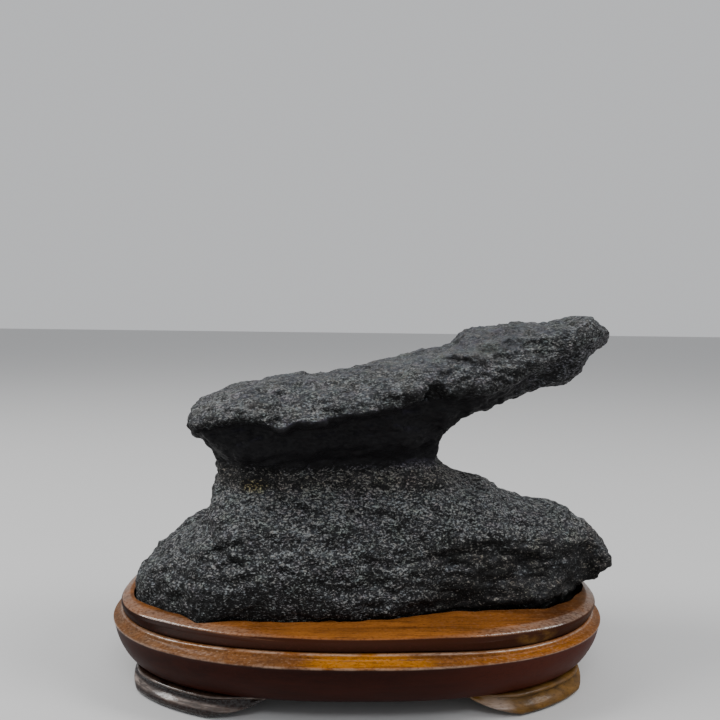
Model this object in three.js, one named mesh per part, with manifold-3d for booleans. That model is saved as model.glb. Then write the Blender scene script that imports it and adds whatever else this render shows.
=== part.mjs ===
// A scholar's stone standing in the seat of its carved oval stand.
// Millimetres, +Z up, the long way along X and the front towards -Y.
import * as THREE from "three";
import { mergeVertices } from "three/addons/utils/BufferGeometryUtils.js";
import Module from "manifold-3d";

const wasm = await Module();
wasm.setup();
const { clamp, degToRad, lerp, smootherstep } = THREE.MathUtils;

// ---- Stand: an oval block with a rim, a groove, a belt and an apron ----
const oval = {
  halfLength: 123, // of the rim's top
  halfWidth: 69.5,
  fullness: 2.35, // 2 is an ellipse, more is squarer
  steps: 80,
};
const rimTop = 43;
const apronFoot = 11;

// Moulding, from the top of the rim down: distance out from the oval, height.
const moulding = [
  [-1.6, rimTop], // flat top of the rim
  [-0.2, 42.4], // its rounded arris
  [0.9, 40.8],
  [2.1, 37.3], // face of the rim, flaring out
  [0.1, 36.3], // groove
  [1.5, 35.7], // belt starts with a small roll
  [3.3, 34.7], // cove
  [5.8, 32.7],
  [6.5, 31.3], // bright edge of the belt
  [5.7, 27.5], // apron, curving in
  [3.8, 22],
  [0.6, 16],
  [-3.8, apronFoot],
];

// ---- Feet: four crescents carved under the apron ----
const foot = {
  tips: [14, 70], // degrees round the oval, from its end towards its long side
  stations: 15,
  root: 12.5, // the top is buried in the apron
  plateau: 1.2, // more than 1 gives the sole a level stretch
  taper: 0.6, // how blunt the tips are
  smallest: 0.14, // of the full section, at a tip
};
// Section of a foot at its fullest: distance out from the oval, height.
const footSection = [
  [-8.5, foot.root],
  [-7.5, 10.8], // back of the recess under the apron
  [-3, 10.3], // bead
  [-2, 9.3],
  [-3.2, 8.2], // groove
  [-1.4, 6.4], // belly
  [-1.4, 3.6],
  [-3.6, 1.2],
  [-6.5, 0], // sole
  [-16, 0],
  [-19, 4],
  [-20, foot.root],
];

// ---- Seat: a pocket cut to the outline of the stone ----
const seat = {
  floor: 35, // height of the pocket's floor
  gap: 0.8, // between the stone and the pocket's wall
  lift: 0.3, // between the stone and the pocket's floor
  wall: 2.8, // least thickness of the rim left round the pocket
  steps: 90,
};

// ---- Stone: a mound and a slab joined by a neck ----
// Each section of a lobe: x, lowest, widest and highest z, front y, back y.
const mound = {
  squareness: 1.9, // of its cross-sections, 2 is an oval
  sections: [
    [-114, 34, 43, 48, -18, 1],
    [-111, 32, 43, 54, -22, 9],
    [-107, 28, 43, 61, -29, 24],
    [-97, 28, 45, 71, -39, 38],
    [-81, 28, 46, 85, -50, 47],
    [-60, 28, 47, 108, -54, 52],
    [-20, 28, 48, 113, -55, 54],
    [14, 28, 48, 113, -50, 52],
    [40, 28, 48, 112, -43, 49],
    [54, 28, 48, 105, -41, 47],
    [72, 28, 48, 101, -40, 44],
    [80, 28, 50, 94, -38, 41],
    [98, 28, 52, 90, -32, 34],
    [109, 34, 54, 87, -25, 27],
    [116, 46, 57, 83, -20, 23],
    [126, 50, 60, 74, -15, 17],
    [131, 54, 60, 69, -9, 13],
    [133.5, 58, 61.5, 65, -3, 7],
  ],
};
const slab = {
  squareness: 2.5, // of its cross-sections, 2 is an oval
  sections: [
    [-89, 127, 131, 134, -14, 12],
    [-86, 123, 132, 138.5, -28, 25],
    [-78, 116, 132, 142.5, -40, 33],
    [-60, 110, 133, 149, -46, 39],
    [-30, 107, 136, 154.5, -49, 42],
    [0, 107, 140, 160.5, -49, 43],
    [28, 113, 146, 168, -47, 42],
    [46, 126, 152, 174, -44, 40],
    [66, 139.5, 158, 182.5, -39, 37],
    [88, 149, 165, 186, -34, 33],
    [105, 152, 170, 188.5, -29, 28],
    [116, 159, 173, 190, -23, 23],
    [124, 169, 177, 187, -15, 16],
    [128, 175, 179, 184, -5, 7],
  ],
};
const neck = {
  middle: [-19, 1],
  halfLength: 56,
  halfWidth: 26,
  squareness: 4,
  low: 70,
  high: 135,
};
const blend = 5; // radius where two lobes run into each other
const roughness = [
  { size: 42, depth: 2.4 },
  { size: 20, depth: 1.6 },
  { size: 11, depth: 0.9 },
];
const skinCell = 6.8; // spacing of the stone's facets
const stoneBox = { low: [-140, -76, 14], high: [150, 74, 202] };

const stoneFinish = { color: 0x2b2d2e, roughness: 0.9, metalness: 0 };
const woodFinish = { color: 0x4a2414, roughness: 0.25, metalness: 0 };

// ---------------------------------------------------------------- solids

const solidOf = (geometry) => {
  const bare = geometry.clone();
  bare.deleteAttribute("normal");
  bare.deleteAttribute("uv");
  const merged = mergeVertices(bare, 1e-4);
  const vertProperties = merged.attributes.position.array;
  const triVerts = new Uint32Array(merged.index.array);
  return new wasm.Manifold(new wasm.Mesh({ numProp: 3, vertProperties, triVerts }));
};

const geometryOf = (solid) => {
  const { vertProperties, triVerts } = solid.getMesh();
  const geometry = new THREE.BufferGeometry();
  geometry.setAttribute("position", new THREE.BufferAttribute(vertProperties, 3));
  geometry.setIndex(new THREE.BufferAttribute(triVerts, 1));
  return geometry;
};

const geometryFrom = (points, triangles) => {
  const geometry = new THREE.BufferGeometry().setFromPoints(points);
  geometry.setIndex(triangles);
  return geometry;
};

// Closed solid through rings of equal length, with a fan over the first and the last.
function loft(rings) {
  const count = rings[0].length;
  const points = rings.flat();
  const triangles = [];
  for (let ring = 0; ring < rings.length - 1; ring++) {
    for (let i = 0; i < count; i++) {
      const a = ring * count + i;
      const b = ring * count + ((i + 1) % count);
      triangles.push(a, a + count, b, b, a + count, b + count);
    }
  }
  const fan = (start, ring, flip) => {
    const hub = points.length;
    const middle = ring.reduce((sum, point) => sum.add(point), new THREE.Vector3());
    points.push(middle.divideScalar(count));
    for (let i = 0; i < count; i++) {
      const a = start + i;
      const b = start + ((i + 1) % count);
      triangles.push(...(flip ? [hub, b, a] : [hub, a, b]));
    }
  };
  fan(0, rings[0], false);
  fan((rings.length - 1) * count, rings.at(-1), true);
  return solidOf(geometryFrom(points, triangles));
}

// ----------------------------------------------------------------- stand

// A point of the oval at an angle, moved out by an offset along the oval's normal.
function ovalPoint(angle, offset, z) {
  const { halfLength, halfWidth, fullness } = oval;
  const bulge = (value, power) => Math.sign(value) * Math.abs(value) ** power;
  const x = halfLength * bulge(Math.cos(angle), 2 / fullness);
  const y = halfWidth * bulge(Math.sin(angle), 2 / fullness);
  const normal = new THREE.Vector2(
    bulge(x / halfLength, fullness - 1) / halfLength,
    bulge(y / halfWidth, fullness - 1) / halfWidth,
  ).normalize();
  return new THREE.Vector3(x + offset * normal.x, y + offset * normal.y, z);
}

// Distance from the middle to the oval moved in by an inset, in one direction.
function ovalReach(angle, inset) {
  const { halfLength, halfWidth, fullness } = oval;
  const along = Math.abs(Math.cos(angle) / (halfLength - inset)) ** fullness;
  const across = Math.abs(Math.sin(angle) / (halfWidth - inset)) ** fullness;
  return (along + across) ** (-1 / fullness);
}

function block() {
  const rings = moulding.map(([offset, z]) =>
    Array.from({ length: oval.steps }, (_, i) =>
      ovalPoint((i / oval.steps) * 2 * Math.PI, offset, z),
    ),
  );
  return loft(rings);
}

// How full the foot's section is at a share of the way from tip to tip.
function footSwell(share) {
  const round = foot.plateau * Math.sin(Math.PI * share) ** foot.taper;
  return clamp(round, foot.smallest, 1);
}

function crescent(fromAngle, toAngle) {
  const [rootOffset, rootHeight] = footSection[0];
  const rings = [];
  for (let i = 0; i < foot.stations; i++) {
    const share = i / (foot.stations - 1);
    const angle = lerp(fromAngle, toAngle, share);
    const swell = footSwell(share);
    rings.push(
      footSection.map(([offset, z]) =>
        ovalPoint(
          angle,
          rootOffset + (offset - rootOffset) * swell,
          rootHeight + (z - rootHeight) * swell,
        ),
      ),
    );
  }
  return loft(rings);
}

function feet() {
  const [near, far] = foot.tips.map(degToRad);
  const quarters = [
    [near, far],
    [Math.PI - far, Math.PI - near],
    [Math.PI + near, Math.PI + far],
    [2 * Math.PI - far, 2 * Math.PI - near],
  ];
  return quarters.map(([first, last]) => crescent(last, first));
}

// ----------------------------------------------------------------- stone

// Smooth noise between -1 and 1 that never changes from run to run.
function hash(x, y, z) {
  const mixed = Math.sin(x * 127.1 + y * 311.7 + z * 74.7) * 43758.5453;
  return 2 * (mixed - Math.floor(mixed)) - 1;
}

function noise(x, y, z) {
  const corner = [Math.floor(x), Math.floor(y), Math.floor(z)];
  const [u, v, w] = [x, y, z].map((value, i) => smootherstep(value - corner[i], 0, 1));
  const edge = (j, k) =>
    lerp(
      hash(corner[0], corner[1] + j, corner[2] + k),
      hash(corner[0] + 1, corner[1] + j, corner[2] + k),
      u,
    );
  return lerp(lerp(edge(0, 0), edge(1, 0), v), lerp(edge(0, 1), edge(1, 1), v), w);
}

// Lobe whose cross-sections are half ovals above and below their widest height.
function lobe({ sections, squareness }) {
  const stations = sections.map(([x]) => x);
  const sizes = sections.flatMap(([, ...size]) => size);
  const shape = new THREE.CubicInterpolant(stations, sizes, sizes.length / stations.length);
  const [start, end] = [stations[0], stations.at(-1)];
  return (x, y, z) => {
    const inside = clamp(x, start, end);
    const [low, wide, high, front, back] = shape.evaluate(inside);
    const halfWidth = (back - front) / 2;
    const halfHeight = z > wide ? high - wide : wide - low;
    const dy = Math.abs(y - (front + back) / 2) / halfWidth;
    const dz = Math.abs(z - wide) / halfHeight;
    const reach = (dy ** squareness + dz ** squareness) ** (1 / squareness);
    const fromAxis = Math.max(Math.hypot(dy, dz), 1e-6);
    const slope = Math.hypot(dy / halfWidth, dz / halfHeight) / fromAxis;
    return (reach - 1) / slope + Math.abs(x - inside);
  };
}

// Upright column of squarish plan.
function column({ middle, halfLength, halfWidth, squareness, low, high }) {
  return (x, y, z) => {
    const dx = Math.abs(x - middle[0]) / halfLength;
    const dy = Math.abs(y - middle[1]) / halfWidth;
    const reach = (dx ** squareness + dy ** squareness) ** (1 / squareness);
    return Math.max((reach - 1) * halfWidth, low - z, z - high);
  };
}

// The smaller of two distances, rounded where they meet.
function join(a, b) {
  const mix = clamp(0.5 + (b - a) / (2 * blend), 0, 1);
  return lerp(b, a, mix) - blend * mix * (1 - mix);
}

// Up to the rim the stone stays inside the widest seat that the stand can hold, and
// above it the stone may lean out over the rim.
function seatRoom(x, y, z) {
  const widest = ovalReach(Math.atan2(y, x), seat.wall + seat.gap);
  return Math.hypot(x, y) - widest - 2 * Math.max(0, z - rimTop - 1);
}

function stoneField() {
  const lower = lobe(mound);
  const upper = lobe(slab);
  const waist = column(neck);
  return (x, y, z) => {
    const body = join(join(lower(x, y, z), waist(x, y, z)), upper(x, y, z));
    const bumps = roughness.reduce(
      (sum, { size, depth }) => sum + depth * noise(x / size + size, y / size, z / size),
      0,
    );
    return Math.max(body + bumps, seatRoom(x, y, z));
  };
}

// Skin of a field's inside: one point in every cell that it crosses, four of them
// joined round every crossed edge of the grid.
function skin(field, { low, high }, cell) {
  const counts = low.map((value, i) => Math.ceil((high[i] - value) / cell) + 1);
  const at = (i, j, k) => i + counts[0] * (j + counts[1] * k);
  const place = (index, axis) => low[axis] + index * cell;
  const values = new Float64Array(counts[0] * counts[1] * counts[2]);
  for (let k = 0; k < counts[2]; k++)
    for (let j = 0; j < counts[1]; j++)
      for (let i = 0; i < counts[0]; i++)
        values[at(i, j, k)] = field(place(i, 0), place(j, 1), place(k, 2));

  const corners = [0, 1, 2, 3, 4, 5, 6, 7].map((n) => [n & 1, (n >> 1) & 1, n >> 2]);
  const edges = [];
  for (const a of [0, 1, 2, 3, 4, 5, 6, 7])
    for (const bit of [1, 2, 4]) if (!(a & bit)) edges.push([a, a | bit]);

  const points = [];
  const pointOf = new Map();
  const cellPoint = (i, j, k) => {
    const sum = new THREE.Vector3();
    let crossings = 0;
    for (const [a, b] of edges) {
      const [p, q] = [corners[a], corners[b]];
      const va = values[at(i + p[0], j + p[1], k + p[2])];
      const vb = values[at(i + q[0], j + q[1], k + q[2])];
      if (va < 0 === vb < 0) continue;
      const t = va / (va - vb);
      sum.x += place(i + p[0] + t * (q[0] - p[0]), 0);
      sum.y += place(j + p[1] + t * (q[1] - p[1]), 1);
      sum.z += place(k + p[2] + t * (q[2] - p[2]), 2);
      crossings += 1;
    }
    if (!crossings) return;
    pointOf.set(at(i, j, k), points.length);
    points.push(sum.divideScalar(crossings));
  };
  for (let k = 0; k < counts[2] - 1; k++)
    for (let j = 0; j < counts[1] - 1; j++)
      for (let i = 0; i < counts[0] - 1; i++) cellPoint(i, j, k);

  const triangles = [];
  const step = [at(1, 0, 0), at(0, 1, 0), at(0, 0, 1)];
  const quad = (cells, outwards) => {
    const [a, b, c, d] = (outwards ? cells : cells.reverse()).map((n) => pointOf.get(n));
    const short = points[a].distanceTo(points[c]) < points[b].distanceTo(points[d]);
    triangles.push(...(short ? [a, b, c, a, c, d] : [a, b, d, b, c, d]));
  };
  for (let k = 1; k < counts[2] - 1; k++)
    for (let j = 1; j < counts[1] - 1; j++)
      for (let i = 1; i < counts[0] - 1; i++)
        for (let axis = 0; axis < 3; axis++) {
          const here = at(i, j, k);
          const inside = values[here] < 0;
          if (inside === values[here + step[axis]] < 0) continue;
          const [u, v] = [step[(axis + 1) % 3], step[(axis + 2) % 3]];
          quad([here - u - v, here - v, here, here - u], inside);
        }
  return geometryFrom(points, triangles);
}

function boxFrom([x0, y0, z0], [x1, y1, z1]) {
  const box = new THREE.BoxGeometry(x1 - x0, y1 - y0, z1 - z0);
  return solidOf(box.translate((x0 + x1) / 2, (y0 + y1) / 2, (z0 + z1) / 2));
}

// The stone is cut off level where it stands on the floor of its seat.
function stoneSolid(field) {
  const whole = solidOf(skin(field, stoneBox, skinCell));
  const { low, high } = stoneBox;
  const below = boxFrom(low.map((value) => value - 1), [high[0], high[1], seat.floor + seat.lift]);
  return whole.subtract(below);
}

// Distance from the middle to the stone's surface, in one direction at one height.
function stoneReach(field, angle, z) {
  let reach = ovalReach(angle, 0);
  while (field(reach * Math.cos(angle), reach * Math.sin(angle), z) > 0) reach -= 0.5;
  return reach;
}

function seatOutline(field, z) {
  const heights = [0, 0.5, 1, 1.3].map((share) => lerp(seat.floor, rimTop, share));
  return Array.from({ length: seat.steps }, (_, i) => {
    const angle = (i / seat.steps) * 2 * Math.PI;
    const stone = Math.max(...heights.map((height) => stoneReach(field, angle, height)));
    const reach = Math.min(stone + seat.gap, ovalReach(angle, seat.wall));
    return new THREE.Vector3(reach * Math.cos(angle), reach * Math.sin(angle), z);
  });
}

function standSolid(field) {
  const pocket = loft([seatOutline(field, rimTop + 5), seatOutline(field, seat.floor)]);
  const body = feet().reduce((solid, crescentFoot) => solid.add(crescentFoot), block());
  return body.subtract(pocket);
}

// -------------------------------------------------------------- assembly

function piece(name, solid, finish) {
  const mesh = new THREE.Mesh(geometryOf(solid), new THREE.MeshStandardMaterial(finish));
  mesh.name = name;
  return mesh;
}

const field = stoneField();
const scholarsRock = new THREE.Group();
scholarsRock.add(piece("stand", standSolid(field), woodFinish));
scholarsRock.add(piece("stone", stoneSolid(field), stoneFinish));

// The origin is the middle of the underside of the box round the whole object.
const extent = new THREE.Box3().setFromObject(scholarsRock);
const centre = extent.getCenter(new THREE.Vector3());
scholarsRock.position.set(-centre.x, -centre.y, -extent.min.z);

export default scholarsRock;
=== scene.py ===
import math
import bmesh
import bpy
import numpy as np
from mathutils import Matrix, Vector, noise


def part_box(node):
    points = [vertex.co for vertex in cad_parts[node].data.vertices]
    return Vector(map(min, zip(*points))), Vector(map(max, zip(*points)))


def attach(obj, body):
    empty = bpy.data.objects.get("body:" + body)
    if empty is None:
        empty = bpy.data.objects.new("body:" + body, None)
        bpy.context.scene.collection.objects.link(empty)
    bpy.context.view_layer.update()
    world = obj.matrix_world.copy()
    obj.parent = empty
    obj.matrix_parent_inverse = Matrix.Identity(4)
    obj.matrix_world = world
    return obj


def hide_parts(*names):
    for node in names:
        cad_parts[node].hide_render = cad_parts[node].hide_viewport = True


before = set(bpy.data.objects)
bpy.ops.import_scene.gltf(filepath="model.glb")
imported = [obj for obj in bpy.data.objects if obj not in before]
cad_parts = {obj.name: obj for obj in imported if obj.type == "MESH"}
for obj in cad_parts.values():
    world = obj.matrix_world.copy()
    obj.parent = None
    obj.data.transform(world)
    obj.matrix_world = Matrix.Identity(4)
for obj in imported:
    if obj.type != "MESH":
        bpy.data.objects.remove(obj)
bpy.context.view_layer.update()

mm = 0.001
print("frame loaded")


# a socket that can be used in sums
class Wire:
    def __init__(self, finish, socket):
        self.finish = finish
        self.socket = socket

    def maths(self, operation, *values):
        sockets = dict(enumerate(values))
        return self.finish.node("ShaderNodeMath", {"operation": operation}, sockets)

    def __add__(self, other):
        return self.maths("ADD", self, other)

    def __sub__(self, other):
        return self.maths("SUBTRACT", self, other)

    def __rsub__(self, other):
        return self.maths("SUBTRACT", other, self)

    def __mul__(self, other):
        return self.maths("MULTIPLY", self, other)

    def __truediv__(self, other):
        return self.maths("DIVIDE", self, other)

    __radd__ = __add__
    __rmul__ = __mul__

    def size(self):
        return self.maths("ABSOLUTE", self)

    def most(self, other):
        return self.maths("MAXIMUM", self, other)

    def least(self, other):
        return self.maths("MINIMUM", self, other)


class Finish:
    # a material, with the one method that adds its nodes
    def __init__(self, name):
        self.material = bpy.data.materials.new(name)
        self.material.use_nodes = True
        self.tree = self.material.node_tree
        self.shader = self.tree.nodes["Principled BSDF"]
        self.place = self.node("ShaderNodeTexCoord", output="Object")
        self.x, self.y, self.z = self.split(self.place)
        self.up = self.split(self.node("ShaderNodeNewGeometry", output="Normal"))[2]

    def plug(self, socket, value):
        if isinstance(value, Wire):
            self.tree.links.new(value.socket, socket)
        else:
            socket.default_value = value

    def node(self, kind, settings=None, sockets=None, output=0):
        made = self.tree.nodes.new(kind)
        for name, value in (settings or {}).items():
            if name == "stops":
                self.setStops(made.color_ramp, value)
            else:
                setattr(made, name, value)
        for key, value in (sockets or {}).items():
            self.plug(made.inputs[key], value)
        return Wire(self, made.outputs[output])

    def setStops(self, ramp, stops):
        while len(ramp.elements) < len(stops):
            ramp.elements.new(1)
        for element, (position, colour) in zip(ramp.elements, stops):
            element.position = position
            element.color = (*colour, 1)

    def split(self, vector):
        made = self.tree.nodes.new("ShaderNodeSeparateXYZ")
        self.plug(made.inputs[0], vector)
        return [Wire(self, made.outputs[i]) for i in range(3)]

    def stretched(self, scale, turn=(0, 0, 0)):
        sockets = {"Vector": self.place, "Scale": scale, "Rotation": turn}
        return self.node("ShaderNodeMapping", {}, sockets)

    def noise(self, size, detail=3, rough=0.5, vector=None, distortion=0):
        # size is the width of one blotch in metres
        sockets = {
            "Vector": vector or self.place,
            "Scale": 1 / size,
            "Detail": detail,
            "Roughness": rough,
            "Distortion": distortion,
        }
        return self.node("ShaderNodeTexNoise", {}, sockets)

    def step(self, value, start, end):
        # 0 up to start and 1 from end on, smooth between; start may be the larger
        sockets = {"Value": value, "From Min": start, "From Max": end}
        settings = {"interpolation_type": "SMOOTHSTEP", "clamp": True}
        return self.node("ShaderNodeMapRange", settings, sockets)

    def band(self, value, middle, width):
        # 1 at the middle, 0 from width away
        return 1 - self.step((value - middle).size(), 0, width)

    def around(self, middle, reach):
        # 1 at a place, fading to 0 at the edge of an egg round it
        apart = 0
        for place, at, far in zip((self.x, self.y, self.z), middle, reach):
            offset = (place - at) / far
            apart = offset * offset + apart
        return 1 - self.step(apart, 0.15, 1)

    def ramp(self, value, stops):
        return self.node("ShaderNodeValToRGB", {"stops": stops}, {"Fac": value})

    def mix(self, share, under, over, blend="MIX"):
        made = self.tree.nodes.new("ShaderNodeMix")
        made.data_type = "RGBA"
        made.blend_type = blend
        for key, value in ((0, share), (6, under), (7, over)):
            if isinstance(value, tuple) and len(value) == 3:
                value = (*value, 1)
            self.plug(made.inputs[key], value)
        return Wire(self, made.outputs[2])

    def bump(self, height, distance, strength=1):
        sockets = {"Height": height, "Distance": distance, "Strength": strength}
        return self.node("ShaderNodeBump", {}, sockets)

    def set(self, **values):
        # the shader's sockets by name, with spaces written as _
        for name, value in values.items():
            self.plug(self.shader.inputs[name.replace("_", " ")], value)


def newObject(name, mesh):
    made = bpy.data.objects.new(name, mesh)
    bpy.context.scene.collection.objects.link(made)
    return made


def applied(piece, *modifiers):
    # a fresh mesh with the given modifiers used up
    for kind, settings in modifiers:
        added = piece.modifiers.new(kind, kind)
        for name, value in settings.items():
            setattr(added, name, value)
    graph = bpy.context.evaluated_depsgraph_get()
    mesh = bpy.data.meshes.new_from_object(piece.evaluated_get(graph))
    piece.modifiers.clear()
    old = piece.data
    piece.data = mesh
    if not old.users:
        bpy.data.meshes.remove(old)
    return mesh


def pointsOf(mesh):
    points = np.empty(len(mesh.vertices) * 3)
    mesh.vertices.foreach_get("co", points)
    return points.reshape(-1, 3)


def normalsOf(mesh):
    normals = np.empty(len(mesh.vertices) * 3)
    mesh.vertices.foreach_get("normal", normals)
    return normals.reshape(-1, 3)


def movePoints(mesh, points):
    mesh.vertices.foreach_set("co", points.ravel())
    mesh.update()


def smoothByAngle(mesh, angle):
    mesh.shade_smooth()
    shape = bmesh.new()
    shape.from_mesh(mesh)
    for edge in shape.edges:
        if len(edge.link_faces) == 2 and edge.calc_face_angle() > math.radians(angle):
            edge.smooth = False
    shape.to_mesh(mesh)
    shape.free()


seedShift = 31.7  # moves each pattern to its own part of the noise


def noiseAt(points, size, seed):
    # smooth noise from -1 to 1 at each point; size is one width or three
    places = points / np.asarray(size) + seedShift * seed
    return np.array([noise.noise(place) for place in places])


def ramp(values, low, high):
    share = np.clip((values - low) / (high - low), 0, 1)
    return share * share * (3 - 2 * share)


def softLimit(values, limit, ease):
    # values above limit - ease are squeezed so that none passes the limit
    over = np.maximum(values - (limit - ease), 0)
    return np.minimum(values, limit - ease) + ease * (1 - np.exp(-over / ease))


stoneSpec = {
    "coarseVoxel": 2.0 * mm,
    "fineVoxel": 1.08 * mm,
    "mostTriangles": 190000,
    "boxMargin": 0.05 * mm,  # left free inside the solid stone's box
    "highEase": 1.2 * mm,  # how softly the stone meets the box's high and low sides
    "lowEase": 0.6 * mm,
    "inSeat": 0.968,  # share of the rim's oval that the stone may fill
    "aboveRim": 0.2,  # how much more it may fill above the rim
    "rimEase": 6 * mm,
    # depths, sizes and places from here on are in millimetres
    "facetSeed": 5,  # another whole number breaks the facets another way
    "facets": {
        "ease": 0.16,  # how much of a facet eases into the next one
        "tilt": 2.2,
        "step": 0.9,  # height from one facet to the next
        "tiltChange": 7.3,  # how quickly tilts and steps change from facet to facet
        "stepChange": 5.1,
    },
    "swell": 1.1,  # puts back what the smoothing takes off
    # depth of each kind of mark and its width along x, y and z
    "slabs": (1.6, (26, 20, 13)),
    "chips": (1.45, (12, 10, 7)),
    "waves": (0.8, 15),
    "knobs": (0.75, (6.5, 5.5, 4)),
    "pits": (0.35, (7, 6, 4.5)),
    "rough": (0.45, (3.6, 3, 2.4)),
    "layers": (1.0, (18, 14, 2.5)),
    "grit": (0.4, (2.1, 1.9, 1.6)),
    "coarseWarp": (5, 26),  # how far the facets' borders wander, and over what length
    "fineWarp": (2, 9),
    "crackWander": (2.2, 7),
    "mostPush": 2.4,  # the slabs and chips together go no deeper
    "knobDepth": 0.95,  # scales the knobs, the pits and the roughness
    "slabFrom": (118, 138),  # heights between which the mound's grain turns into the slab's
    "layersFrom": (5, 45),  # the bedding starts between these places along x
    "layersBelow": (84, 66),
    # height of the slab's front edge along its length
    "frontEdge": [
        (-92, 133), (-80, 135), (-70, 138), (-60, 139.5), (-52, 138.5), (-45, 136), (-39, 135),
        (-33, 138), (-17, 139.5), (-4, 143), (6, 144.5), (15, 147), (22, 150.5), (27, 155.5),
        (33, 156.5), (37, 153), (46, 153.5), (60, 152.5), (68, 155.5), (80, 162), (92, 170),
        (110, 177.5),
    ],
    "edgeDrop": 1.5,  # how far the break sits below that line
    "undercut": [(-92, 3), (-75, 8), (-50, 10), (30, 10), (50, 7), (80, 4), (110, 1.5)],
    "undercutFront": (4, 26),  # how far forward of the middle it starts and is full
    "undercutFrom": (104, 116),  # heights between which it starts
    "undercutEase": (3, 5),  # softness of the edge above and below it
    # how much the slab's front leans back: at the edge, its change above it, and over what height
    "lean": (0.42, 0.9, 24),
    # height of the break between the mound's slope and its steep lower right
    "breakLine": [(20, 74), (35, 76.5), (47, 78.5), (64, 80.5), (74, 75.5), (89, 72), (101, 74)],
    "breakFront": (10, 26),
    "breakFrom": (22, 42),
    "breakTo": (118, 102),
    "breakBulge": (2, 8, 1),  # depth and height of the brow, and how far it sits above the line
    "breakHollow": (3.5, 2, 9),  # depth below the brow, and where it starts and is full
    # soft pulls: where, how far they reach, and which way they go
    "pulls": [
        ((50, 0, 122), (15, 80, 14), (-4, 0, 9)),
        ((47, 0, 111), (13, 80, 12), (-6, 0, 0)),
        ((58, 0, 104), (22, 60, 15), (0, 0, -6.5)),
        ((98, 0, 90), (24, 60, 14), (-1, 0, -3)),
        ((117, 0, 82), (10, 40, 10), (-1.5, 0, -1.5)),
        ((-104, 0, 70), (26, 50, 24), (-1, 0, 0)),
        ((-116, -6, 54), (13, 44, 16), (-3.2, 0, 0.5)),
        ((-77, 0, 98), (12, 60, 14), (3, 0, 0)),
        ((-84, 0, 86), (13, 60, 12), (2.5, 0, -2)),
        ((-88, 0, 143), (12, 40, 9), (-1.5, 0, 0)),
        ((-82, 0, 119), (13, 60, 11), (5, 0, 5)),
        ((-93, 0, 129), (9, 40, 8), (2, 0, 1)),
        ((120, 0, 161), (16, 40, 13), (-5, 0, 4)),
        ((82, 0, 143), (10, 60, 7), (0, 0, -1.5)),
        ((97, 0, 187), (16, 50, 9), (0, 0, -2.5)),
        ((112, 0, 189), (20, 40, 9), (0, 0, -1)),
        ((38, 0, 171), (22, 50, 10), (0, 0, -1.5)),
        ((20, 0, 167), (14, 50, 9), (0, 0, -2)),
        ((127, -10, 58), (14, 22, 16), (2, -6, 0)),
        ((130, -8, 50), (10, 30, 9), (-4, 0, 3)),
        ((112, -34, 50), (14, 14, 10), (0, 5, 0)),
        ((86, -36, 46), (34, 24, 14), (0, -9, 0)),
        ((-97, -38, 46), (24, 24, 13), (0, 5, 0)),
        ((-88, 0, 145), (15, 60, 9), (0.5, 0, -1.6)),
        ((-80, 0, 121), (8, 60, 7), (-2.5, 0, -2)),
        ((-56, 0, 155), (28, 60, 9), (0, 0, -1.6)),
        ((-22, 0, 158), (24, 60, 9), (0, 0, -2.2)),
        ((72, 0, 184), (30, 60, 9), (0, 0, -2)),
        ((66, 0, 133), (15, 80, 9), (0, 0, 4.5)),
        ((112, 0, 152), (13, 60, 9), (0, 0, 3)),
        ((93, 0, 147), (12, 60, 8), (0, 0, 2.2)),
        ((73, 0, 95), (13, 40, 10), (-1.5, 0, -3.5)),
        ((44, 0, 110), (8, 60, 9), (-2.8, 0, 0)),
        ((-80, 0, 108), (10, 60, 9), (1.5, 0, 0)),
        ((-88, 0, 80), (12, 60, 12), (2.2, 0, -1)),
        ((133, 0, 50), (13, 40, 12), (-5, 0, 1)),
        ((116, -24, 60), (12, 22, 13), (0, 6, 0)),
        ((60, 0, 131), (16, 80, 9), (0, 0, 3)),
        ((47, 0, 122), (11, 80, 10), (-3.5, 0, 2.5)),
        ((92, 0, 187), (24, 60, 8), (0, 0, -3)),
        ((44, 0, 173), (16, 60, 8), (0, 0, -2)),
        ((113, 0, 154), (13, 60, 9), (-2, 0, 1.5)),
        ((100, 0, 149), (12, 60, 8), (0, 0, 2)),
        ((50, 0, 104), (14, 40, 9), (0, 0, -2)),
        ((-94, 0, 132), (9, 40, 10), (3.5, 0, 0)),
        ((-80, 0, 97), (9, 50, 9), (-1.8, 0, 0)),
        ((50, 0, 127), (10, 80, 8), (-1, 0, 2)),
        ((50, -40, 168), (14, 12, 7), (0, -3, 1.5)),
        ((12, -44, 137), (12, 14, 8), (0, -4, 0)),
        ((-60, -30, 106), (20, 12, 8), (0, -3, 0)),
        ((0, -28, 106), (40, 12, 7), (0, -2, 0)),
    ],
    # narrow grooves: from, to, width and depth
    "cracks": [
        ((-71, -44, 74), (-60, -50, 68), 2.6, 2.2),
        ((-57, -52, 62.5), (-47, -52, 61), 2.2, 1.8),
        ((-72, -31, 102), (-44, -34, 100.5), 2.6, 2.2),
        ((105, -32, 75), (108, -30, 58), 3.0, 4.5),
        ((38, -46, 58), (80, -42, 60), 2.0, 1.4),
        ((52, -46, 68), (98, -36, 66), 1.8, 1.4),
        ((-104, -38, 55), (-84, -46, 50), 3, 2.4),
    ],
}


def welded(mesh):
    # the solid's triangles come apart from each other
    shape = bmesh.new()
    shape.from_mesh(mesh)
    bmesh.ops.remove_doubles(shape, verts=shape.verts, dist=0.001 * mm)
    shape.to_mesh(mesh)
    shape.free()
    return mesh


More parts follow.
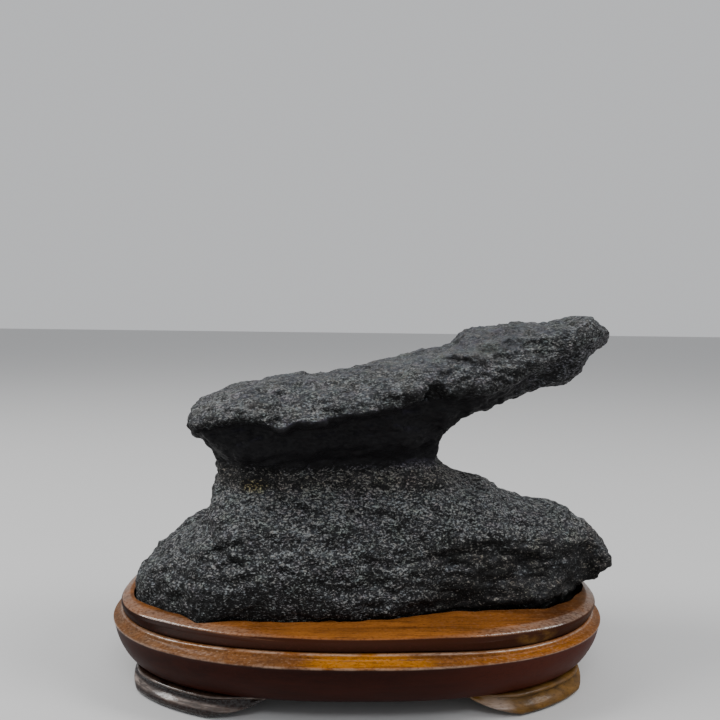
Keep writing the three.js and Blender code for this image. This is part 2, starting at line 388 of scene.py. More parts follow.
def facetsAt(points, size, seed):
    # broken facets: each cell is its own tilted plane, eased into the next one
    spec = stoneSpec["facets"]
    places = points / np.asarray(size) + seedShift * seed
    found = [noise.voronoi(place) for place in places]
    gaps = np.array([distances[1] - distances[0] for distances, seeds in found])
    shares = 0.5 + 0.5 * np.minimum(1, gaps / spec["ease"])
    heights = 0
    for rank, share in ((0, shares), (1, 1 - shares)):
        seeds = np.array([seeds[rank] for distances, seeds in found])
        tilts = np.array([noise.noise_vector(place * spec["tiltChange"]) for place in seeds])
        steps = np.array([noise.noise(place * spec["stepChange"]) for place in seeds])
        planes = np.sum((places - seeds) * tilts, 1) * spec["tilt"] + steps * spec["step"]
        heights = heights + share * planes
    return heights


def pulled(points):
    for at, reach, shift in stoneSpec["pulls"]:
        apart = np.sum(((points - at) / reach) ** 2, 1)
        weight = np.clip(1 - apart, 0, 1) ** 2
        points = points + weight[:, None] * np.array(shift)
    return points


def undercut(points):
    # the slab's front leans back above its edge and turns in sharply below it
    spec = stoneSpec
    x, y, z = points.T
    edge = np.interp(x, *zip(*spec["frontEdge"])) - spec["edgeDrop"]
    depth = np.interp(x, *zip(*spec["undercut"]))
    front = ramp(-y, *spec["undercutFront"])
    above, below = spec["undercutEase"]
    hollow = ramp(edge - z, 0, below) * ramp(z, *spec["undercutFrom"])
    most, change, tall = spec["lean"]
    lean = ramp(z, edge - above, edge) * (most - change * ramp(z, edge, edge + tall))
    return np.stack([x, y + front * depth * (hollow - lean), z], 1)


def steepened(points):
    # the mound's lower right: a brow with layered rock falling away below it
    spec = stoneSpec
    x, y, z = points.T
    brow = np.interp(x, *zip(*spec["breakLine"]))
    weight = ramp(-y, *spec["breakFront"]) * ramp(x, *spec["breakFrom"]) * ramp(x, *spec["breakTo"])
    bulgeDepth, bulgeHeight, lift = spec["breakBulge"]
    bulge = np.clip(1 - np.abs(z - brow - lift) / bulgeHeight, 0, 1)
    hollowDepth, start, full = spec["breakHollow"]
    hollow = ramp(brow - z, start, full)
    return np.stack([x, y + weight * (hollowDepth * hollow - bulgeDepth * bulge), z], 1)


def warped(points, spec, seeds):
    # moved a little by noise, so that the facets' borders aren't straight
    far, size = spec
    return points + np.stack([noiseAt(points, size, seed) for seed in seeds], 1) * far


def grooved(points, normals):
    far, size = stoneSpec["crackWander"]
    for start, end, width, depth in stoneSpec["cracks"]:
        start, along = np.array(start), np.array(end) - np.array(start)
        share = np.clip(((points - start) @ along) / (along @ along), 0, 1)
        wander = noiseAt(points, size, 15)[:, None] * far
        apart = np.linalg.norm(points + wander - start - share[:, None] * along, axis=1)
        points = points - normals * (depth * np.clip(1 - apart / width, 0, 1))[:, None]
    return points


def coarseStone(piece):
    # the solid's shape with its pulls and its largest facets
    spec = stoneSpec
    mesh = applied(
        piece,
        ("SUBSURF", {"levels": 2, "render_levels": 2}),
        ("REMESH", {"mode": "VOXEL", "voxel_size": spec["coarseVoxel"]}),
        ("SMOOTH", {"factor": 0.5, "iterations": 3}),
    )
    points, normals = pointsOf(mesh) / mm, normalsOf(mesh)
    points = points + normals * spec["swell"]
    points = steepened(undercut(pulled(points)))
    movePoints(mesh, points * mm)
    normals = normalsOf(mesh)
    places = warped(points, spec["coarseWarp"], (1, 2, 3))
    push = 0
    for name, seed in (("slabs", 4), ("chips", 5)):
        depth, size = spec[name]
        push = push + depth * facetsAt(places, size, seed)
    depth, size = spec["waves"]
    push = push + depth * noiseAt(points, size, 6)
    push = spec["mostPush"] * np.tanh(push / spec["mostPush"])
    movePoints(mesh, (points + normals * push[:, None]) * mm)


def fineStone(piece):
    # knobs, pits, bedding, grit and cracks on a finer mesh
    spec = stoneSpec
    mesh = applied(piece, ("REMESH", {"mode": "VOXEL", "voxel_size": spec["fineVoxel"]}))
    points, normals = pointsOf(mesh) / mm, normalsOf(mesh)
    places = warped(points, spec["fineWarp"], (7, 8, 9))
    knobDepth, knobSize = spec["knobs"]
    pitDepth, pitSize = spec["pits"]
    layerDepth, layerSize = spec["layers"]
    roughDepth, roughSize = spec["rough"]
    gritDepth, gritSize = spec["grit"]
    knobs = facetsAt(places, knobSize, 10)
    pits = -ramp(noiseAt(points, pitSize, 14), 0.3, 0.6)
    beds = noiseAt(places, layerSize, 11)
    rough = noiseAt(points, roughSize, 12)
    grit = noiseAt(points, gritSize, 13)
    lower = ramp(points[:, 0], *spec["layersFrom"]) * ramp(points[:, 2], *spec["layersBelow"])
    upper = ramp(points[:, 2], *spec["slabFrom"])
    push = spec["knobDepth"] * (knobDepth * knobs * (0.8 + 0.7 * upper) + pitDepth * pits)
    push += spec["knobDepth"] * rough * (roughDepth - 0.15 * upper)
    push += layerDepth * beds * (0.3 + 0.9 * lower) + gritDepth * grit
    points = grooved(points + normals * push[:, None], normals)
    movePoints(mesh, keptInside(points * mm))
    triangles = len(mesh.loops) - 2 * len(mesh.polygons)
    if triangles > spec["mostTriangles"]:
        share = spec["mostTriangles"] / triangles
        mesh = applied(piece, ("DECIMATE", {"ratio": share}))
        movePoints(mesh, keptInside(pointsOf(mesh)))


def rimOval():
    # middle along x, half length and half width of the stand's rim
    low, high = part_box("stand")
    out = standSpec["beltOut"]
    return (low[0] + high[0]) / 2, (high[0] - low[0]) / 2 - out, (high[1] - low[1]) / 2 - out


def keptInside(points):
    # nothing passes the solid stone's box, nor the wall of the seat below the rim
    spec = stoneSpec
    low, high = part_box("stone")
    for axis in range(3):
        points[:, axis] = softLimit(points[:, axis], high[axis] - spec["boxMargin"], spec["highEase"])
        points[:, axis] = -softLimit(-points[:, axis], -low[axis] - spec["boxMargin"], spec["lowEase"])
    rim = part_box("stand")[1][2]
    middle, halfLength, halfWidth = rimOval()
    power = standSpec["fullness"]
    across = np.abs((points[:, 0] - middle) / halfLength) ** power
    deep = np.abs(points[:, 1] / halfWidth) ** power
    share = (across + deep) ** (1 / power)
    allowed = spec["inSeat"] + spec["aboveRim"] * ramp(points[:, 2], rim, rim + spec["rimEase"])
    pull = np.minimum(1, allowed / np.maximum(share, 0.01))
    points[:, 0] = middle + (points[:, 0] - middle) * pull
    points[:, 1] *= pull
    return points


def makeStone():
    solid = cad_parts["stone"]
    piece = newObject("scholar_stone", welded(solid.data.copy()))
    noise.seed_set(stoneSpec["facetSeed"])
    coarseStone(piece)
    fineStone(piece)
    piece.data.shade_smooth()
    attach(piece, "root")
    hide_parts("stone")
    return piece


standSpec = {
    "around": 420,  # steps round the oval
    "beltOut": 6.5 * mm,  # how far the belt stands out from the rim's oval
    "fullness": 2.35,  # of the oval: 2 is an ellipse, and more is squarer
    "wobble": 0.28 * mm,  # the carver's unevenness
    # changes towards an end: how much, and where along the stand it starts and is full
    "leftSpread": (4.2 * mm, 92 * mm, 122 * mm),  # the top of the rim is longer
    "rightSpread": (3.6 * mm, 60 * mm, 118 * mm),
    "leftTuck": (1.6 * mm, 20 * mm, 75 * mm),  # the top of the rim is drawn in
    "rightDrop": (1.8 * mm, 15 * mm, 80 * mm),  # the groove under the rim is lower
    "leftDrop": (0.9 * mm, 40 * mm, 110 * mm),
    "shoulder": (1.1 * mm, 30 * mm, 70 * mm),  # the rim's edge is rounder
    "spreadFrom": (37 * mm, 41.5 * mm),  # heights between which the spread and the tuck begin
    "grooveAt": 36.6 * mm,
    "dropFade": (1.5 * mm, 5 * mm),  # how far from the groove the drop starts and ends fading
    "shoulderAbove": 40 * mm,
    "shoulderIn": (-5.5 * mm, -1 * mm),  # out from the oval where the shoulder starts and is full
    "shoulderOut": (1.5 * mm, -0.5 * mm),
    "carveSize": (38 * mm, 38 * mm, 9 * mm),  # widths of the unevenness, sideways and in height
    "dipSize": 26 * mm,
    "creaseAngle": 38,  # edges sharper than this stay crisp
    "seatGap": 0.5 * mm,
    "seatFloor": 35 * mm,
    # the seat's eased top edge: height from the rim, and how much wider the seat is there
    "seatEdge": [(3 * mm, 2.1 * mm), (0.1 * mm, 0.5 * mm), (-0.5 * mm, 0)],
    "seatSteps": 240,
    "crevice": 2.4 * mm,  # extra gap between the stone and the rim at the right end
    "creviceAt": 14,  # its place round the seat in degrees, clockwise from the right
    # where each foot starts and ends round the oval, in degrees
    "feet": [(14, 70), (110, 166), (194, 254), (290, 346)],
    "footSteps": 61,
    "footThin": 0.1,  # how thin a foot's tips are, as a share of its middle
}
# out from the oval and height, in millimetres, from the top of the rim down
mouldingLine = [
    (-9, 43), (-5, 42.98), (-3.2, 42.9), (-1.9, 42.75), (-1, 42.4), (-0.4, 41.8), (0.1, 40.9),
    (0.8, 39.9), (1.4, 38.9), (1.8, 38), (1.8, 37.4), (1.1, 37), (0.5, 36.85), (0.6, 36.65), (1.4, 36.6),
    (2.3, 36.3), (2.9, 35.6), (3.1, 34.8), (3.9, 33.9), (5, 33), (6.1, 32.3), (6.5, 31.7),
    (6.45, 31), (6.1, 30.2), (5.5, 27.5), (4.6, 24), (3.2, 20.3), (1.2, 16.6), (-1.2, 13.3),
    (-3.3, 11.2), (-4, 11), (-9, 11),
]
# the same for a foot's section, from its root in the apron round to its inner face
footLine = [
    (-9, 12.5), (-7.6, 11.4), (-6.8, 10.7), (-3.6, 10.6), (-1.8, 10.2), (-1.1, 9.4), (-1.5, 8.6),
    (-2.6, 8), (-2.5, 7.2), (-2, 6.5), (-0.9, 5.3), (0.2, 4.2), (0.8, 3.2), (0.8, 2.2), (0.2, 1.1),
    (-1.6, 0.3), (-5, 0), (-15.5, 0), (-18, 1.5), (-19.5, 5), (-20, 12.5),
]


def softened(line, rounds):
    # cuts the corners and keeps both ends
    points = np.array(line, float)
    for _ in range(rounds):
        before, after = points[:-1], points[1:]
        cut = np.stack([0.75 * before + 0.25 * after, 0.25 * before + 0.75 * after], 1)
        points = np.vstack([points[:1], cut.reshape(-1, 2), points[-1:]])
    return points


def ovalPlaces(angles, out):
    # points of the rim's oval, moved out along its normals
    middle, length, width = rimOval()
    power = standSpec["fullness"]
    cosine, sine = np.cos(angles), np.sin(angles)
    x = length * np.sign(cosine) * np.abs(cosine) ** (2 / power)
    y = width * np.sign(sine) * np.abs(sine) ** (2 / power)
    nx = np.sign(x) * np.abs(x / length) ** (power - 1) / length
    ny = np.sign(y) * np.abs(y / width) ** (power - 1) / width
    reach = np.hypot(nx, ny)
    return x + out * nx / reach + middle, y + out * ny / reach


def ringMesh(name, rings):
    # closed skin over rings of equal length, with a fan on the first and the last
    shape = bmesh.new()
    rows = [[shape.verts.new(point) for point in ring] for ring in rings]
    count = len(rows[0])
    for upper, lower in zip(rows, rows[1:]):
        for i in range(count):
            j = (i + 1) % count
            shape.faces.new((upper[i], lower[i], lower[j], upper[j]))
    for row, order in ((rows[0], 1), (rows[-1], -1)):
        hub = shape.verts.new(np.mean([vert.co for vert in row], axis=0))
        for i in range(count):
            j = (i + 1) % count
            shape.faces.new((hub, row[i], row[j])[::order])
    bmesh.ops.recalc_face_normals(shape, faces=shape.faces)
    mesh = bpy.data.meshes.new(name)
    shape.to_mesh(mesh)
    shape.free()
    return mesh


def towards(name, x):
    # one of the changes towards an end, at places x along the stand
    amount, start, end = standSpec[name]
    return amount * ramp(x, start, end)


def standBlock():
    spec = standSpec
    angles = np.linspace(0, 2 * math.pi, spec["around"], endpoint=False)
    rings = []
    for out, height in softened(mouldingLine, 2) * mm:
        x, y = ovalPlaces(angles, out)
        places = np.stack([x, y, np.full_like(x, height)], 1)
        drop = towards("rightDrop", x) + towards("leftDrop", -x)
        drop = drop * (1 - ramp(abs(height - spec["grooveAt"]), *spec["dropFade"]))
        spread = towards("leftSpread", -x) + towards("rightSpread", x) - towards("leftTuck", -x)
        spread = spread * ramp(height, *spec["spreadFrom"])
        eased = ramp(out, *spec["shoulderIn"]) * ramp(out, *spec["shoulderOut"])
        drop += towards("shoulder", np.abs(x)) * eased * (height > spec["shoulderAbove"])
        carve = noiseAt(places, spec["carveSize"], 21) - 1
        x, y = ovalPlaces(angles, out + spread + spec["wobble"] * carve)
        dip = 0.4 * spec["wobble"] * (noiseAt(places, spec["dipSize"], 22) - 1)
        rings.append(np.stack([x, y, height + dip - drop], 1))
    return newObject("carved_stand", ringMesh("carved_stand", rings))


def foot(first, last):
    # a crescent that thins to a tip at both ends
    line = softened(footLine, 1)
    root = line[0]
    rings = []
    for share in np.linspace(0, 1, standSpec["footSteps"]):
        swell = min(1, max(standSpec["footThin"], 1.2 * math.sin(math.pi * share) ** 0.6))
        angle = math.radians(first + (last - first) * share)
        section = root + (line - root) * swell
        x, y = ovalPlaces(np.full(len(section), angle), section[:, 0] * mm)
        rings.append(np.stack([x, y, section[:, 1] * mm], 1))
    return newObject("foot", ringMesh("foot", rings))


def seatCutter(stonePoints):
    # a plug with the outline of the stone's base and an eased top edge
    spec = standSpec
    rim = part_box("stand")[1][2]
    middle = rimOval()[0]
    x, y, z = stonePoints[stonePoints[:, 2] < rim + 0.6 * mm].T
    count = spec["seatSteps"]
    slot = np.round(np.arctan2(y, x - middle) / (2 * math.pi) * count).astype(int) % count
    reach = np.zeros(count)
    np.maximum.at(reach, slot, np.hypot(x - middle, y))
    reach = np.maximum(reach, (np.roll(reach, 1) + np.roll(reach, -1)) / 2)
    angles = np.arange(count) / count * 2 * math.pi
    reach += spec["crevice"] * ramp(np.cos(angles + math.radians(spec["creviceAt"])), 0.8, 0.98)
    levels = [(rim + above, wider) for above, wider in spec["seatEdge"]]
    rings = []
    for height, wider in [*levels, (spec["seatFloor"], 0)]:
        wall = reach + spec["seatGap"] + wider
        places = [middle + wall * np.cos(angles), wall * np.sin(angles), np.full(count, height)]
        rings.append(np.stack(places, 1))
    return newObject("seat", ringMesh("seat", rings))


def makeStand(stonePoints):
    piece = standBlock()
    for first, last in standSpec["feet"]:
        crescent = foot(first, last)
        applied(piece, ("BOOLEAN", {"operation": "UNION", "object": crescent, "solver": "EXACT"}))
        bpy.data.objects.remove(crescent)
    seat = seatCutter(stonePoints)
    applied(piece, ("BOOLEAN", {"operation": "DIFFERENCE", "object": seat, "solver": "EXACT"}))
    bpy.data.objects.remove(seat)
    smoothByAngle(piece.data, standSpec["creaseAngle"])
    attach(piece, "root")
    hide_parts("stand")
    return piece


stoneLook = {
    "stretch": (0.75, 0.9, 1.3),  # of the grains, which lie flat and tilt a little
    "tilt": 8,
    # widths of the marks, from grains to stains
    "crystal": 1.15 * mm,
    "speck": 0.85 * mm,
    "cluster": 3.2 * mm,
    "dusting": 5 * mm,
    "pock": 7 * mm,
    "blotch": 9 * mm,
    "stain": 11 * mm,
    "patch": 14 * mm,
    # colour from the darkest grain to the palest
    "tones": [
        (0.20, (0.0012, 0.0012, 0.0014)),
        (0.42, (0.0070, 0.0073, 0.0078)),
        (0.58, (0.033, 0.0345, 0.0355)),
        (0.74, (0.092, 0.095, 0.096)),
        (1.0, (0.20, 0.208, 0.205)),
    ],
    # pale grey for up-facing surfaces: partly dust, partly painted sheen of the light from above
    "dustAndSheen": (0.068, 0.071, 0.084),
    "paleDustAndSheen": (0.083, 0.084, 0.082),
    # tints that multiply the colour
    "shade": (1.5, 1.3, 1.8),  # tint of the painted shade in the hollow under the slab
    "cool": (0.94, 1.0, 1.06),
    "warm": (1.06, 1.0, 0.95),
    "green": (0.95, 1.01, 0.96),
    "plum": (1.05, 0.98, 1.03),
    "brown": (1.2, 1.02, 0.84),
    "olive": (2.4, 2.0, 0.9),
    "oliveSpot": ((-57 * mm, -36 * mm, 102 * mm), (13 * mm, 14 * mm, 5 * mm)),
    # how much lighter or darker each region is
    "slabTone": 0.07,
    "tipPaintedLight": 0.17,
    "paintedShadeTone": -0.17,
    "pockTone": -0.17,
    "neckPaintedShade": -0.12,
    "lowerTone": -0.19,
    "flankTone": -0.03,
    # the slab's front edge as two slopes: rise along x, and height at the middle
    "edgeSlopes": ((0.13, 144.5 * mm), (0.5, 121 * mm)),
    # heights or places between which each region starts and is full
    "slabFrom": (126 * mm, 142 * mm),
    "hollowFrom": (108 * mm, 116 * mm),
    "lowerFrom": (10 * mm, 60 * mm),
    "lowerBelow": (82 * mm, 66 * mm),
    # the lowest part, next to the rim, darkened as painted contact shade
    "contactShadeBelow": (64 * mm, 46 * mm),
    "flankFrom": (-62 * mm, -84 * mm),
    "tipFrom": (55 * mm, 90 * mm),
    "neck": (105 * mm, 10 * mm),  # height of its middle, and reach; the neck's recess, darkened as painted shade and tinted brown
    "bump": 0.7 * mm,
    "specular": 0.2,
}


def stoneFinish():
    finish = Finish("dark_stone_finish")
    look = stoneLook
    x, z, up = finish.x, finish.z, finish.up
    flat = finish.stretched(look["stretch"], (0, math.radians(look["tilt"]), 0))
    crystals = finish.node(
        "ShaderNodeTexVoronoi",
        {"feature": "F1"},
        {"Vector": flat, "Scale": 1 / look["crystal"], "Randomness": 1},
        output="Color",
    )
    crystal, tint = finish.split(crystals)[:2]
    specks = finish.noise(look["speck"], 2, 0.75, flat)
    clusters = finish.noise(look["cluster"], 3, 0.6, flat)
    patches = finish.noise(look["patch"], 2, 0.5)
    blotches = finish.noise(look["blotch"], 2, 0.6)
    dusting = finish.noise(look["dusting"], 4, 0.7)
    pocks = finish.step(finish.noise(look["pock"], 3, 0.65), 0.48, 0.64)
    stains = finish.step(finish.noise(look["stain"], 3, 0.6), 0.35, 0.6)

    # regions of the stone
    slab = finish.step(z, *look["slabFrom"])
    slopes = [x * slope + height for slope, height in look["edgeSlopes"]]
    rise = z - slopes[0].most(slopes[1])  # above or below the slab's front edge
    under = finish.step(rise, -0.5 * mm, -4 * mm) * finish.step(z, *look["hollowFrom"])
    lit = finish.step(up, 0.3, 0.65) * (1 - finish.step(rise, -9 * mm, -14 * mm))
    # painted shade: the hollow under the slab's overhang made darker, purple-tinted and lower in
    # contrast, except on up-facing faces and towards the right tip
    paintedShade = under * (1 - lit) * (1 - finish.step(x, 60 * mm, 88 * mm) * 0.8)
    front = slab * (1 - finish.step(rise, 9 * mm, 20 * mm))
    lower = finish.step(x, *look["lowerFrom"]) * finish.step(z, *look["lowerBelow"])
    neck = finish.band(z, *look["neck"])
    # the left flank darker, and the lowest part next to the rim darker as painted contact shade
    flank = finish.step(x, *look["flankFrom"]) * (1 - slab)
    flank = flank.most(finish.step(z, *look["contactShadeBelow"]) * 1.6)
    # painted light: the slab's faces that don't face up, towards the right tip, made lighter
    tip = finish.step(x, *look["tipFrom"]) * slab * (1 - finish.step(up, 0.1, 0.6))
    pocked = front.most(slab * finish.step(x, 15 * mm, 60 * mm) * 0.7)

    # how light each point is
    grain = ((crystal - 0.5) * 0.6 + (specks - 0.5) * 3.2) * (1 - slab * 0.65 + front * 0.3)
    value = 0.43 + grain * (1 - paintedShade * 0.8) + (clusters - 0.5) * 0.32 + (patches - 0.5) * 0.25
    # painted light and shade by facing, partly dust: up-facing surfaces lighter, down-facing ones darker
    value = value + (finish.step(up, -0.25, 0.85) - 0.62) * 0.3
    value = value + slab * look["slabTone"] + tip * look["tipPaintedLight"] + paintedShade * look["paintedShadeTone"]
    value = value + neck * look["neckPaintedShade"] + lower * look["lowerTone"] + flank * look["flankTone"]
    value = value + pocked * pocks * look["pockTone"]

    colour = finish.ramp(value, look["tones"])
    # dust and painted sheen: pale grey on up-facing surfaces, most on the slab
    dustAndSheen = finish.mix(finish.step(patches, 0.45, 0.65) * slab, look["dustAndSheen"], look["paleDustAndSheen"])
    dustAndSheenOnTops = finish.step(up, 0, 0.9) * finish.step(dusting, 0.3, 0.7)
    colour = finish.mix(dustAndSheenOnTops * (0.25 + slab * 0.5 - front * 0.3), colour, dustAndSheen)
    olive = finish.around(*look["oliveSpot"]) * finish.step(specks, 0.4, 0.6)
    tints = (
        (finish.step(tint, 0.6, 1), "cool"),
        (finish.step(tint, 0.4, 0), "warm"),
        (finish.step(blotches, 0.52, 0.66), "green"),
        (finish.step(blotches, 0.44, 0.32), "plum"),
        (paintedShade, "shade"),
        ((lower * stains).most(neck * 0.7) * 0.8, "brown"),
        (olive, "olive"),
    )
    for share, name in tints:
        colour = finish.mix(share, colour, look[name], "MULTIPLY")
    height = (crystal * 0.4 + specks * 1.1 + clusters * 0.7) * (1 - paintedShade * 0.6)
    finish.set(
        Base_Color=colour,
        Roughness=0.8 - crystal * 0.3,
        Specular_IOR_Level=look["specular"],
        Normal=finish.bump(height, look["bump"]),
    )
    return finish.material


woodLook = {
    "apron": (0.019, 0.0038, 0.0018),
    "lip": (0.022, 0.0052, 0.0012),
    "rim": (0.180, 0.060, 0.011),
    "belt": (0.180, 0.058, 0.006),
    "gold": (0.27, 0.092, 0.0006),
    "groove": (0.002, 0.001, 0.0006),
    "rubbedAndSheen": (0.108, 0.059, 0.030),  # the paler ends: partly lacquer rubbed away, partly painted sheen
    "dull": (0.030, 0.011, 0.004),
    "honey": (0.165, 0.080, 0.014),
    # colour of the painted sheen and highlights on the feet
    "paintedSheen": (0.42, 0.34, 0.30),
    # paler edges: partly wear, partly painted highlight and sheen
    "wornAndHighlight": (0.25, 0.16, 0.11),
    # how fine each mark is along x, y and z
    "streaks": (14, 190, 190),
    "pores": (70, 1300, 1300),
    "flecks": (600, 1100, 1100),
    "strands": (24, 160, 900),
    # heights on the moulding between which each part starts or ends
    "rimFrom": (40.2 * mm, 40.8 * mm),
    "lipFrom": (36.4 * mm, 37 * mm),
    "beltFrom": (30.9 * mm, 31.8 * mm),
    "beltTo": (36.6 * mm, 36.4 * mm),
    "footTo": (11.2 * mm, 10.4 * mm),
    # places along the stand between which each change starts and is full
    "leftEnd": (-50 * mm, -105 * mm),
    "rightEnd": (98 * mm, 120 * mm),
    "leftBelt": (-20 * mm, -75 * mm),
    "rightBelt": (40 * mm, 80 * mm),
    "rightRim": (60 * mm, 100 * mm),
    "rightLip": (30 * mm, 100 * mm),
    "redder": (10 * mm, 90 * mm),
    "rightFoot": (20 * mm, 40 * mm),
    "duller": (62 * mm, 80 * mm),  # the right foot's gloss ends
    "sides": (20 * mm, 70 * mm),  # either way from the middle
    # spots: middle and reach
    "goldSpot": ((1 * mm, -76 * mm, 33 * mm), (36 * mm, 16 * mm, 9 * mm)),
    "lipSpot": ((82 * mm, -60 * mm, 38.5 * mm), (14 * mm, 13 * mm, 4 * mm)),
    "leafSpot": ((60 * mm, -68 * mm, 5.5 * mm), (15 * mm, 16 * mm, 6 * mm)),
    "bump": 0.14 * mm,
    "coatRoughness": 0.13,
    "specular": 0.06,
}


def shaded(colour, amount):
    return tuple(amount * part for part in colour)


def woodFinish():
    finish = Finish("lacquered_wood_finish")
    look = woodLook
    x, up = finish.x, finish.up
    streaks = finish.noise(1, 4, 0.6, finish.stretched(look["streaks"]), 0.4)
    pores = finish.noise(1, 2, 0.6, finish.stretched(look["pores"]))
    flecks = finish.noise(1, 2, 0.7, finish.stretched(look["flecks"]))
    strands = finish.step(finish.noise(1, 3, 0.6, finish.stretched(look["strands"])), 0.42, 0.62)
    clouds = finish.noise(24 * mm, 3, 0.55)
    light = finish.step(streaks * 0.7 + clouds * 0.3, 0.3, 0.7)
    wear = finish.step(finish.noise(11 * mm, 3, 0.5), 0.30, 0.62)
    mottled = 1 - finish.step(flecks, 0.38, 0.62) * 0.65

    # height on the moulding before the groove was dropped towards the ends
    rightDrop, rightStart, rightFull = standSpec["rightDrop"]
    leftDrop, leftStart, leftFull = standSpec["leftDrop"]
    drop = finish.step(x, rightStart, rightFull) * rightDrop
    drop = drop + finish.step(x, -leftStart, -leftFull) * leftDrop
    apart = (finish.z + drop * 0.8 - standSpec["grooveAt"]).size()
    z = finish.z + drop * (1 - finish.step(apart, *standSpec["dropFade"]))

    # parts of the stand; the up-facing rim top and belt slope get lighter colours than the lip and apron,
    # partly the wood's own colour and partly painted light
    top = finish.step(z, *look["rimFrom"]) * finish.step(up, 0.58, 0.72)
    slope = finish.step(z, *look["beltFrom"]) * finish.step(z, *look["beltTo"])
    groove = finish.band(z, 36.8 * mm, 0.45 * mm)
    foot = finish.step(z, *look["footTo"])
    rightFoot = foot * finish.step(x, *look["rightFoot"])
    leftFoot = foot * (1 - finish.step(x, *look["rightFoot"]))
    leftEnd = finish.step(x, *look["leftEnd"])
    rightEnd = finish.step(x, *look["rightEnd"])
    sides = finish.step(x.size(), *look["sides"])

    # apron, lip, belt and rim
    colour = finish.mix(light, shaded(look["apron"], 0.7), shaded(look["apron"], 1.5))
    colour = finish.mix(finish.step(x, *look["redder"]), colour, shaded(look["apron"], 2.7))
    # painted shade: the lip lighter at its top and darker lower down, where it turns under
    lip = finish.mix(finish.step(z, 37 * mm, 42 * mm), shaded(look["lip"], 0.6), shaded(look["lip"], 1.3))
    lip = finish.mix(finish.step(x, *look["rightLip"]) * wear * 0.5, lip, look["dull"])
    # painted shade: the lip darker at the left end
    lip = finish.mix(leftEnd, lip, shaded(look["lip"], 0.4))
    patch = finish.around(*look["lipSpot"]) * finish.step(streaks, 0.35, 0.6)
    lip = finish.mix(patch * 0.4, lip, look["honey"])
    colour = finish.mix(finish.step(z, *look["lipFrom"]), colour, lip)
    belt = finish.mix(light, shaded(look["belt"], 0.42), look["belt"])
    golden = finish.around(*look["goldSpot"]) * finish.step(streaks, 0.3, 0.55)
    belt = finish.mix(golden, belt, look["gold"])
    belt = finish.mix(finish.step(x, *look["rightBelt"]) * 0.35, belt, shaded(look["belt"], 1.9))
    colour = finish.mix(slope, colour, belt)
    rim = finish.mix(light, shaded(look["rim"], 0.42), shaded(look["rim"], 1.25))
    # duller and darker towards the right end, below the stone: partly dirt, partly painted shade
    rim = finish.mix(finish.step(x, *look["rightRim"]) * (0.4 + 0.5 * wear), rim, look["dull"])
    colour = finish.mix(top, colour, rim)

    # ends where the lacquer is rubbed away, paler also as painted sheen
    leftBelt = finish.step(x, *look["leftBelt"]) * slope * 0.8
    lipEnd = finish.step(z, 37.5 * mm, 39 * mm) * rightEnd
    rubbedAndSheen = leftEnd.most(rightEnd * 0.85).most(leftBelt) * top.most(slope).most(lipEnd)
    rubbedAndSheen = rubbedAndSheen * (0.4 + 0.35 * wear) * (1 - leftEnd * (1 - slope) * 0.8)
    colour = finish.mix(rubbedAndSheen, colour, look["rubbedAndSheen"])

    # an olive right foot with painted highlight on its tip, and a dark left foot with painted sheen in
    # strands
    honey = finish.mix(light, shaded(look["honey"], 0.2), shaded(look["honey"], 0.95))
    colour = finish.mix(rightFoot, colour, honey)
    colour = finish.mix(leftFoot * 0.85, colour, look["groove"])
    sheen = finish.band(z, 5.2 * mm, 1.6 * mm) + finish.band(z, 9.7 * mm, 0.5 * mm) * 0.7
    sheen = sheen * (0.12 + strands * 0.4)
    colour = finish.mix(leftFoot * sheen, colour, look["paintedSheen"])
    leaf = finish.around(*look["leafSpot"]) * rightFoot
    colour = finish.mix(leaf * (0.35 + sheen), colour, look["paintedSheen"])

    # edges and foot ridges paler, partly wear and partly painted highlight; then the dark groove, pores
    # and flecks
    edges = finish.band(z, 31.5 * mm, 0.8 * mm) + finish.band(z, 36.1 * mm, 0.5 * mm)
    shoulder = top * (1 - finish.step(up, 0.93, 0.99))
    ridges = (finish.band(z, 9.9 * mm, 0.9 * mm) + finish.band(z, 4.6 * mm, 2.2 * mm) * 0.6) * foot
    colour = finish.mix((edges * 1.8 + ridges * 0.4) * wear * 0.5, colour, look["wornAndHighlight"])
    # pale flecks on the belt and rim top, and painted sheen on the rim's rounded shoulder at the sides
    pale = finish.step(flecks, 0.46, 0.3) * (slope + top * 0.5) * (0.15 + sides * 0.35)
    colour = finish.mix(pale.most(shoulder * sides * 0.4 * mottled), colour, look["wornAndHighlight"])
    # the groove under the lip near black: painted shade in the crease
    colour = finish.mix(groove * 0.9, colour, look["groove"])
    colour = finish.mix(finish.step(pores, 0.54, 0.7) * 0.5, colour, look["apron"])
    speckled = finish.step(flecks, 0.5, 0.72) * (0.55 - foot * 0.35)
    colour = finish.mix(speckled, colour, shaded(look["apron"], 1.5))

    polished = (top * 0.12).most(slope * 0.12).most(edges * (0.35 + sides * 0.65)).most(shoulder * sides)
    polished = polished.most(foot * (1 - finish.step(x, *look["duller"]) * 0.8))
    finish.set(
        Base_Color=colour,
        Roughness=0.4 + streaks * 0.14,
        Specular_IOR_Level=look["specular"],
        Coat_Weight=(polished * mottled).least(1),
        Coat_Roughness=look["coatRoughness"],
        Normal=finish.bump(streaks * 0.5 + pores * 0.3 + flecks * 0.35, look["bump"], 0.6),
    )
    return finish.material


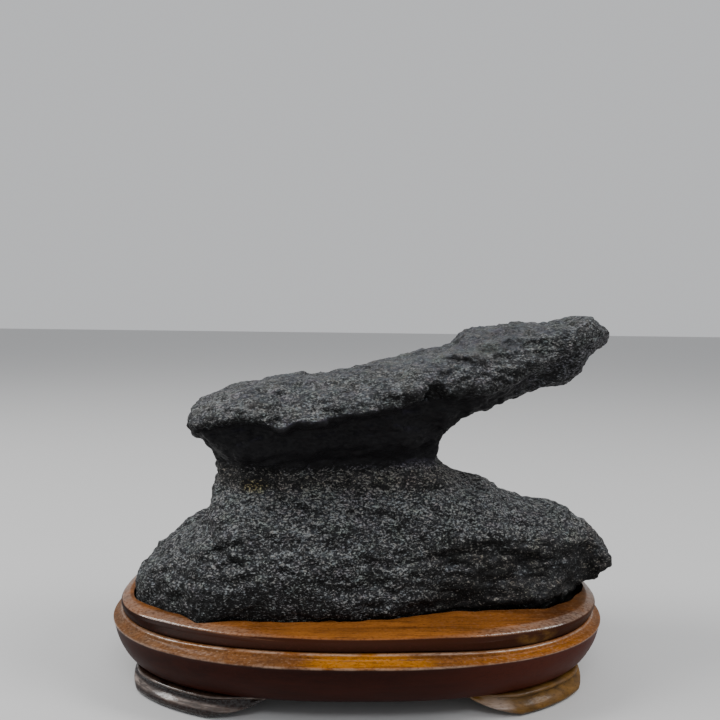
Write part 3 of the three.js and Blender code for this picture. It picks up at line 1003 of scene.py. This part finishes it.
roomSpec = {
    "floorTones": ((0.52, 0.52, 0.52), (0.47, 0.47, 0.47)),
    "floorSize": 6,  # from its middle to a side
    "floorDrop": 0.05 * mm,  # keeps it clear of the feet
    "aim": (0, 0, 0.1),  # where all lights point
    "lights": [
        # name, place, size, watts and colour
        ("ceiling_left", (-1.10, -0.10, 1.15), (0.5, 0.8), 20, (1, 0.99, 0.97)),
        ("ceiling_right", (1.00, -0.25, 1.15), (0.35, 0.8), 13, (1, 0.99, 0.97)),
        ("ceiling_front", (0.05, -1.00, 1.25), (0.8, 0.3), 6.5, (0.97, 0.98, 1)),
    ],
    "air": (0.80, 0.81, 0.83),
    "airStrength": 0.78,
    "cameraPlace": (-0.0099, -0.3742, 0.189),  # from the stand's middle
    "cameraTurns": (("Z", -1.41), ("X", 86.08), ("Z", 0.74)),  # sideways, up and roll in degrees
    "lens": 35,
    "sensor": 36,
}


def floorFinish():
    finish = Finish("pale_floor_finish")
    shade = finish.noise(60 * mm, 2, 0.5)
    finish.set(Base_Color=finish.mix(shade * 0.1, *roomSpec["floorTones"]), Roughness=0.6)
    return finish.material


def makeFloor():
    shape = bmesh.new()
    bmesh.ops.create_grid(shape, x_segments=2, y_segments=2, size=roomSpec["floorSize"])
    mesh = bpy.data.meshes.new("floor")
    shape.to_mesh(mesh)
    shape.free()
    floor = newObject("floor", mesh)
    floor.location.z = -roomSpec["floorDrop"]
    floor.data.materials.append(floorFinish())


def areaLight(name, place, size, power, colour):
    lamp = bpy.data.lights.new(name, "AREA")
    lamp.shape = "RECTANGLE"
    lamp.size, lamp.size_y = size
    lamp.energy = power
    lamp.color = colour
    made = newObject(name, lamp)
    made.location = place
    aim = Vector(roomSpec["aim"]) - Vector(place)
    made.rotation_euler = aim.to_track_quat("-Z", "Y").to_euler()


def makeLights():
    for light in roomSpec["lights"]:
        areaLight(*light)
    world = bpy.data.worlds.new("room")
    world.use_nodes = True
    air = world.node_tree.nodes["Background"]
    air.inputs["Color"].default_value = (*roomSpec["air"], 1)
    air.inputs["Strength"].default_value = roomSpec["airStrength"]
    bpy.context.scene.world = world


def makeCamera():
    lens = bpy.data.cameras.new("camera")
    lens.lens = roomSpec["lens"]
    lens.sensor_width = roomSpec["sensor"]
    lens.clip_start = 0.01
    camera = newObject("camera", lens)
    aside, back, up = roomSpec["cameraPlace"]
    pose = Matrix.Translation((rimOval()[0] + aside, back, up))
    for axis, degrees in roomSpec["cameraTurns"]:
        pose = pose @ Matrix.Rotation(math.radians(degrees), 4, axis)
    camera.matrix_world = pose
    bpy.context.scene.camera = camera


def dressed(piece, material):
    piece.data.materials.clear()
    piece.data.materials.append(material)
    print(piece.name, "ready:", len(piece.data.polygons), "faces")


makeCamera()
makeLights()
makeFloor()
print("room ready")

stone = makeStone()
dressed(stone, stoneFinish())
stand = makeStand(pointsOf(stone.data))
dressed(stand, woodFinish())
